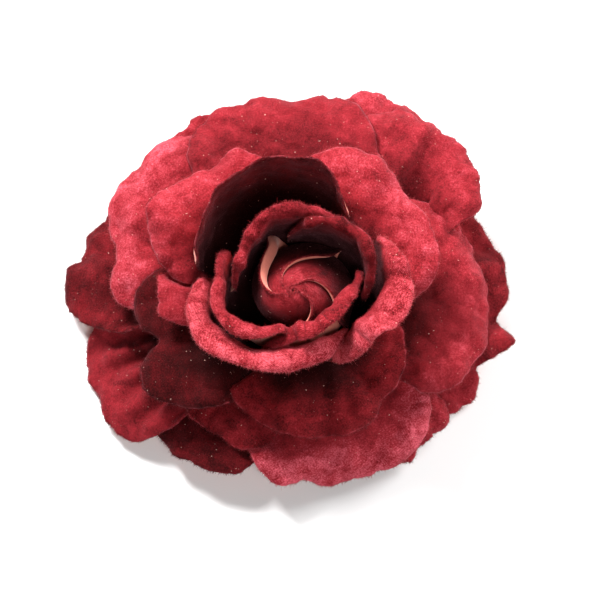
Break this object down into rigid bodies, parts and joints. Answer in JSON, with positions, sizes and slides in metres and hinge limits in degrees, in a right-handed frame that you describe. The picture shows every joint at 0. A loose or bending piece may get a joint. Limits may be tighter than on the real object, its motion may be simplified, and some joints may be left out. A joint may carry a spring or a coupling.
{
  "type": "flower hair clip",
  "caption": "Velvet rose of layered cloth petals on a felt disc, with a sprung steel beak clip behind it.",
  "frame": {"origin": "on the lever's flat outer face, under the stem of the flower", "axes": "+Z out of the flower's face, +X along the clip towards its jaw, +Y across the clip"},
  "size_m": [0.1105, 0.0995, 0.0488],
  "materials": {
    "petal_velvet": "crimson pile velvet, salmon woven back",
    "felt": "pressed felt",
    "padding": "wound padding",
    "moulding": "moulded, matt",
    "clip_steel": "bright plated sheet steel",
    "spring_steel": "drawn wire"
  },
  "bodies": {
    "flower": {"bud_left": "petal_velvet", "bud_back": "petal_velvet", "bud_right": "petal_velvet", "bud_front": "petal_velvet", "heart_front_right": "petal_velvet", "heart_front_left": "petal_velvet", "heart_right": "petal_velvet", "heart_left": "petal_velvet", "rim_back": "petal_velvet", "rim_right": "petal_velvet", "rim_front": "petal_velvet", "cup_back_right": "petal_velvet", "cup_back_left": "petal_velvet", "cup_left": "petal_velvet", "cup_front_left": "petal_velvet", "cup_front": "petal_velvet", "cup_front_low": "petal_velvet", "wide_back": "petal_velvet", "wide_left": "petal_velvet", "wide_right": "petal_velvet", "wide_front": "petal_velvet", "wide_back_right": "petal_velvet", "outer_left": "petal_velvet", "outer_left_low": "petal_velvet", "outer_front_left": "petal_velvet", "outer_front": "petal_velvet", "outer_front_right": "petal_velvet", "outer_right_low": "petal_velvet", "outer_right": "petal_velvet", "outer_back_right": "petal_velvet", "outer_back_left": "petal_velvet", "outer_left_high": "petal_velvet", "outer_back": "petal_velvet", "bud_core": "padding", "hub": "moulding", "felt_disc": "felt", "felt_patch": "felt", "fixed_blade": "clip_steel", "hinge_pin": "clip_steel", "spring": "spring_steel"},
    "lever": {"lever": "clip_steel"}
  },
  "joints": [
    {"name": "clip_hinge", "type": "hinge", "parent": "flower", "child": "lever", "pos_m": [-0.014, 0, 0.005], "axis": [0, 1, 0], "range_deg": [0, 21], "stiffness_Nm_per_rad": 0.1, "springref_deg": -51.57, "deforming": ["spring"]}
  ]
}
